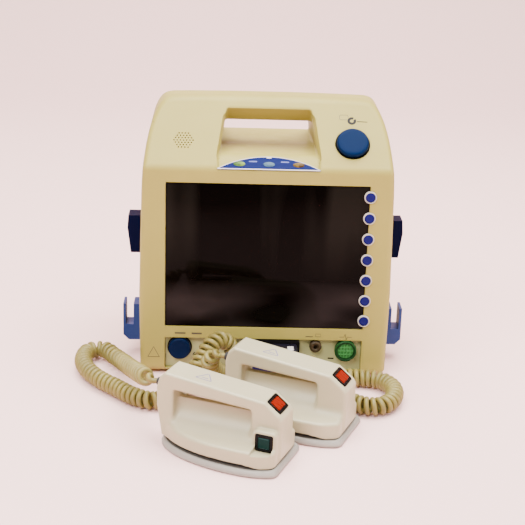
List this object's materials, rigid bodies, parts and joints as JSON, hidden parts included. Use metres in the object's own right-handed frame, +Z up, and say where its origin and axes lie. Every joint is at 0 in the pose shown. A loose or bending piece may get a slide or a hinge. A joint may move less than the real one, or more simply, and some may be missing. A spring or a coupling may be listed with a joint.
{
  "type": "monitor defibrillator with paddles",
  "caption": "Portable hospital monitor-defibrillator with screen, keys, trim knob, carry bar, side paddle holders and coiled-cord hand paddles laid in front.",
  "frame": {"origin": "on the surface it stands on, under the middle of the unit and its two paddles (free cords not counted)", "axes": "+Z up, -Y out of the screen towards the user, +X to the user's right; the unit is centred on X = 0"},
  "size_m": [0.3588, 0.4134, 0.293],
  "materials": {
    "cream_plastic": "fine spark-eroded moulded plastic, cream",
    "connector_strip_plastic": "matt moulded plastic, darker cream",
    "screen_glass": "dark glossy display glass",
    "dark_plastic": "black moulded plastic",
    "key_blue": "satin blue key caps",
    "key_ring_plastic": "off-white satin plastic",
    "board_green": "solder-resist green board",
    "knob_blue": "satin blue moulded knob",
    "bare_metal": "brushed metal",
    "capacitor_can": "sleeved capacitor can",
    "panel_blue": "blue printed polycarbonate",
    "lens_green": "translucent green lens",
    "lens_white": "translucent pale blue lens",
    "lens_amber": "translucent amber lens",
    "socket_navy": "navy plastic connector",
    "socket_brown": "brown connector",
    "socket_green": "green connector",
    "holder_blue": "blue moulded holder",
    "black_rubber": "black rubber",
    "paddle_plastic": "warm white satin plastic",
    "shock_orange": "orange translucent push button",
    "charge_teal": "dark teal push button",
    "cord_cream": "cream flexible cable jacket"
  },
  "bodies": {
    "unit": {"front_housing": "cream_plastic", "rear_housing": "cream_plastic", "connector_panel": "connector_strip_plastic", "screen_window": "screen_glass", "lcd_module": "dark_plastic", "knob_well": "dark_plastic", "mains_inlet": "dark_plastic", "paddle_socket": "dark_plastic", "soft_key_bezel": "key_ring_plastic", "soft_key_board": "board_green", "main_board": "board_green", "rotary_encoder": "bare_metal", "chassis_frame": "bare_metal", "power_supply": "bare_metal", "hv_capacitor": "capacitor_can", "indicator_panel": "panel_blue", "paddle_plug": "panel_blue", "indicator_ready": "lens_green", "indicator_mains": "lens_white", "indicator_alarm": "lens_amber", "oximeter_socket": "socket_navy", "output_jack": "socket_brown", "ecg_socket": "socket_green", "ecg_pin_block": "socket_green", "left_lower_cradle": "holder_blue", "right_lower_cradle": "holder_blue", "foot_1": "black_rubber", "foot_2": "black_rubber", "foot_3": "black_rubber", "foot_4": "black_rubber", "speaker": "black_rubber", "paddle_cord_1": "cord_cream", "paddle_cord_2": "cord_cream"},
    "soft_key_1_cap": {"soft_key_1": "key_blue"},
    "soft_key_2_cap": {"soft_key_2": "key_blue"},
    "soft_key_3_cap": {"soft_key_3": "key_blue"},
    "soft_key_4_cap": {"soft_key_4": "key_blue"},
    "soft_key_5_cap": {"soft_key_5": "key_blue"},
    "soft_key_6_cap": {"soft_key_6": "key_blue"},
    "soft_key_7_cap": {"soft_key_7": "key_blue"},
    "knob_spindle": {"encoder_shaft": "bare_metal"},
    "knob": {"energy_knob": "knob_blue"},
    "battery": {"battery_pack": "dark_plastic"},
    "left_clip": {"left_upper_clip": "holder_blue"},
    "right_clip": {"right_upper_clip": "holder_blue"},
    "paddle_1": {"paddle_1_shock_bezel": "dark_plastic", "paddle_1_charge_bezel": "dark_plastic", "paddle_1_electrode": "bare_metal", "paddle_1_cord_grommet": "black_rubber", "paddle_1_shell": "paddle_plastic", "paddle_1_sole": "paddle_plastic"},
    "paddle_1_shock_key": {"paddle_1_shock_button": "shock_orange"},
    "paddle_1_charge_key": {"paddle_1_charge_button": "charge_teal"},
    "paddle_2": {"paddle_2_shock_bezel": "dark_plastic", "paddle_2_electrode": "bare_metal", "paddle_2_cord_grommet": "black_rubber", "paddle_2_shell": "paddle_plastic", "paddle_2_sole": "paddle_plastic"},
    "paddle_2_shock_key": {"paddle_2_shock_button": "shock_orange"}
  },
  "joints": [
    {"name": "soft_key_1_press", "type": "slide", "parent": "unit", "child": "soft_key_1_cap", "axis": [0, 1, 0], "range_m": [0, 0.0012], "stiffness_N_per_m": 700, "springref_m": -0.0008},
    {"name": "soft_key_2_press", "type": "slide", "parent": "unit", "child": "soft_key_2_cap", "axis": [0, 1, 0], "range_m": [0, 0.0012], "stiffness_N_per_m": 700, "springref_m": -0.0008},
    {"name": "soft_key_3_press", "type": "slide", "parent": "unit", "child": "soft_key_3_cap", "axis": [0, 1, 0], "range_m": [0, 0.0012], "stiffness_N_per_m": 700, "springref_m": -0.0008},
    {"name": "soft_key_4_press", "type": "slide", "parent": "unit", "child": "soft_key_4_cap", "axis": [0, 1, 0], "range_m": [0, 0.0012], "stiffness_N_per_m": 700, "springref_m": -0.0008},
    {"name": "soft_key_5_press", "type": "slide", "parent": "unit", "child": "soft_key_5_cap", "axis": [0, 1, 0], "range_m": [0, 0.0012], "stiffness_N_per_m": 700, "springref_m": -0.0008},
    {"name": "soft_key_6_press", "type": "slide", "parent": "unit", "child": "soft_key_6_cap", "axis": [0, 1, 0], "range_m": [0, 0.0012], "stiffness_N_per_m": 700, "springref_m": -0.0008},
    {"name": "soft_key_7_press", "type": "slide", "parent": "unit", "child": "soft_key_7_cap", "axis": [0, 1, 0], "range_m": [0, 0.0012], "stiffness_N_per_m": 700, "springref_m": -0.0008},
    {"name": "knob_push", "type": "slide", "parent": "unit", "child": "knob_spindle", "axis": [0, 0.6987, -0.7154], "range_m": [0, 0.0007], "stiffness_N_per_m": 1200, "springref_m": -0.0008},
    {"name": "knob_turn", "type": "hinge", "parent": "knob_spindle", "child": "knob", "pos_m": [0.0873, 0.05332, 0.25356], "axis": [0, -0.6987, 0.7154], "continuous": true},
    {"name": "battery_slide", "type": "slide", "parent": "unit", "child": "battery", "axis": [0, 1, 0], "range_m": [0, 0.085]},
    {"name": "left_clip_flex", "type": "hinge", "parent": "unit", "child": "left_clip", "pos_m": [-0.1346, 0.0907, 0.163], "axis": [0, 1, 0], "range_deg": [0, 10], "stiffness_Nm_per_rad": 1.5, "springref_deg": -3.44},
    {"name": "right_clip_flex", "type": "hinge", "parent": "unit", "child": "right_clip", "pos_m": [0.1346, 0.0907, 0.163], "axis": [0, -1, 0], "range_deg": [0, 10], "stiffness_Nm_per_rad": 1.5, "springref_deg": -3.44},
    {"name": "paddle_1_lift", "type": "slide", "parent": "unit", "child": "paddle_1", "axis": [0, 0, 1], "range_m": [0, 0.12]},
    {"name": "paddle_1_shock_press", "type": "slide", "parent": "paddle_1", "child": "paddle_1_shock_key", "axis": [-0.5601, 0.2377, -0.7936], "range_m": [0, 0.0015], "stiffness_N_per_m": 900, "springref_m": -0.001},
    {"name": "paddle_1_charge_press", "type": "slide", "parent": "paddle_1", "child": "paddle_1_charge_key", "axis": [0.3907, 0.9205, 0], "range_m": [0, 0.0015], "stiffness_N_per_m": 900, "springref_m": -0.001},
    {"name": "paddle_2_lift", "type": "slide", "parent": "unit", "child": "paddle_2", "axis": [0, 0, 1], "range_m": [0, 0.12]},
    {"name": "paddle_2_shock_press", "type": "slide", "parent": "paddle_2", "child": "paddle_2_shock_key", "axis": [-0.5601, 0.2377, -0.7936], "range_m": [0, 0.0015], "stiffness_N_per_m": 900, "springref_m": -0.001}
  ]
}
